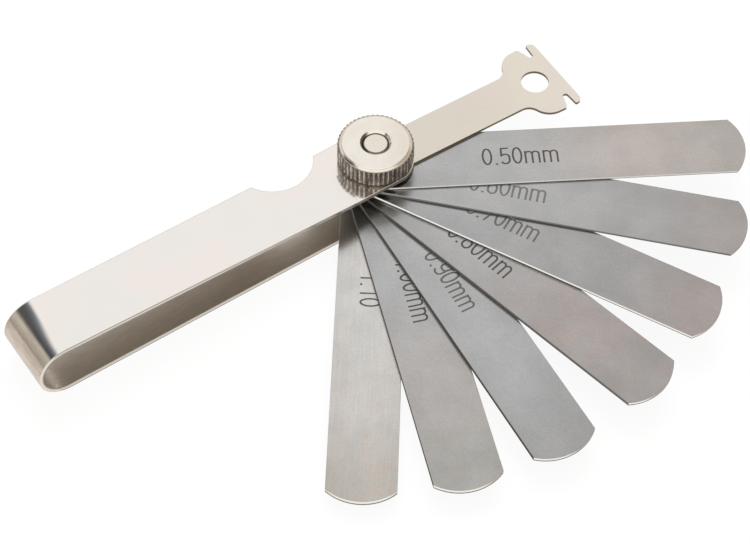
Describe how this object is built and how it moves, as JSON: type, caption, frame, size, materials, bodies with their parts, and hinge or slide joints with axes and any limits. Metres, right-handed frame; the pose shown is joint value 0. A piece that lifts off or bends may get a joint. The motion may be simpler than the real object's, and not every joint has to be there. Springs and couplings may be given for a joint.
{
  "type": "folding feeler gauge",
  "caption": "Folding feeler gauge: thickness leaves and a slotted bending tool turn on one stud in a bent strip handle, clamped by a knurled nut.",
  "frame": {"origin": "on the stud's axis, in the plane of the lower arm's underside", "axes": "+Z along the stud towards the knurled nut, -X along the handle towards its closed end, +Y towards the thumb notches; the fan opens towards -Y"},
  "size_m": [0.1404, 0.0787, 0.0143],
  "materials": {
    "polished_nickel": "polished nickel plate on bent steel strip",
    "stud_nickel": "nickel plate, turned end face",
    "washer_steel": "plain zinc-plated steel",
    "leaf_steel": "finely ground spring steel with a faint warm temper tint",
    "satin_nickel": "satin nickel plate",
    "nut_nickel": "bright nickel plate over a turned and knurled nut"
  },
  "bodies": {
    "handle": {"handle": "polished_nickel", "pivot_stud": "stud_nickel", "spacer_washer": "washer_steel"},
    "leaf_1_10": {"leaf_1_10": "leaf_steel"},
    "leaf_1_00": {"leaf_1_00": "leaf_steel"},
    "leaf_0_90": {"leaf_0_90": "leaf_steel"},
    "leaf_0_80": {"leaf_0_80": "leaf_steel"},
    "leaf_0_70": {"leaf_0_70": "leaf_steel"},
    "leaf_0_60": {"leaf_0_60": "leaf_steel"},
    "leaf_0_50": {"leaf_0_50": "leaf_steel"},
    "bending_tool": {"bending_tool": "satin_nickel"},
    "knurled_nut": {"knurled_nut": "nut_nickel"}
  },
  "joints": [
    {"name": "leaf_0_50_swing", "type": "hinge", "parent": "handle", "child": "leaf_0_50", "pos_m": [0, 0, 0.00776], "axis": [0, 0, 1], "range_deg": [-149.4, 210.6]},
    {"name": "leaf_0_60_swing", "type": "hinge", "parent": "handle", "child": "leaf_0_60", "pos_m": [0, 0, 0.00718], "axis": [0, 0, 1], "range_deg": [-133.2, 226.8]},
    {"name": "leaf_0_70_swing", "type": "hinge", "parent": "handle", "child": "leaf_0_70", "pos_m": [0, 0, 0.0065], "axis": [0, 0, 1], "range_deg": [-116.6, 243.4]},
    {"name": "leaf_0_80_swing", "type": "hinge", "parent": "handle", "child": "leaf_0_80", "pos_m": [0, 0, 0.00572], "axis": [0, 0, 1], "range_deg": [-101.2, 258.8]},
    {"name": "leaf_0_90_swing", "type": "hinge", "parent": "handle", "child": "leaf_0_90", "pos_m": [0, 0, 0.00484], "axis": [0, 0, 1], "range_deg": [-84.3, 275.7]},
    {"name": "leaf_1_00_swing", "type": "hinge", "parent": "handle", "child": "leaf_1_00", "pos_m": [0, 0, 0.00386], "axis": [0, 0, 1], "range_deg": [-69.1, 290.9]},
    {"name": "leaf_1_10_swing", "type": "hinge", "parent": "handle", "child": "leaf_1_10", "pos_m": [0, 0, 0.00278], "axis": [0, 0, 1], "range_deg": [-53.4, 306.6]},
    {"name": "bending_tool_swing", "type": "hinge", "parent": "handle", "child": "bending_tool", "pos_m": [0, 0, 0.00834], "axis": [0, 0, 1], "range_deg": [-177.9, 182.1]},
    {"name": "nut_turn", "type": "hinge", "parent": "handle", "child": "knurled_nut", "pos_m": [0, 0, 0.01192], "axis": [0, 0, 1], "range_deg": [0, 360]}
  ]
}
